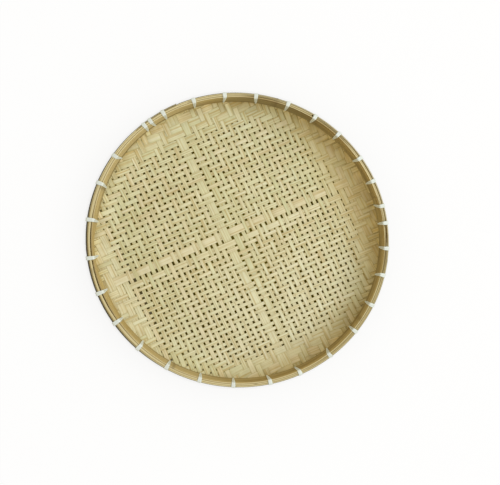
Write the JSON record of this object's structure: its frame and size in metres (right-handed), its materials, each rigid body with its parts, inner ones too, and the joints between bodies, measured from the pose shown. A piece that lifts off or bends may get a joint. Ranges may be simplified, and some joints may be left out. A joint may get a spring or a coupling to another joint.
{
  "type": "bamboo winnowing tray",
  "caption": "Shallow round bamboo winnowing tray: an open mat of crossed splints, dished and clamped between an outer and an inner bent hoop by looped plastic ties.",
  "frame": {"origin": "middle of the tray on the surface that it rests on", "axes": "+Z up out of the open side; +X to the right and +Y up in the reference picture, with the weft turned 24.3 degrees from +X"},
  "size_m": [0.4033, 0.3926, 0.0459],
  "materials": {
    "splint": "pale dry bamboo, matt with a slight sheen along the fibres",
    "hoop": "split bamboo, golden brown inside with an olive skin outside",
    "tie": "folded translucent white packing strip"
  },
  "bodies": {
    "root": {"warp_splints_left": "splint", "wide_warp_splints": "splint", "warp_splints_right": "splint", "weft_splints_front": "splint", "wide_weft_splints": "splint", "weft_splints_back": "splint", "outer_hoop": "hoop", "inner_hoop": "hoop", "rim_filler": "hoop", "tie_01": "tie", "tie_02": "tie", "tie_03": "tie", "tie_04": "tie", "tie_05": "tie", "tie_06": "tie", "tie_07": "tie", "tie_08": "tie", "tie_09": "tie", "tie_10": "tie", "tie_11": "tie", "tie_12": "tie", "tie_13": "tie", "tie_14": "tie", "tie_15": "tie", "tie_16": "tie", "tie_17": "tie", "tie_18": "tie", "tie_19": "tie", "tie_20": "tie", "tie_21": "tie", "tie_22": "tie", "tie_23": "tie", "tie_24": "tie", "tie_25": "tie", "tie_26": "tie", "tie_27": "tie", "tie_28": "tie", "tie_29": "tie", "tie_30": "tie"}
  },
  "joints": []
}
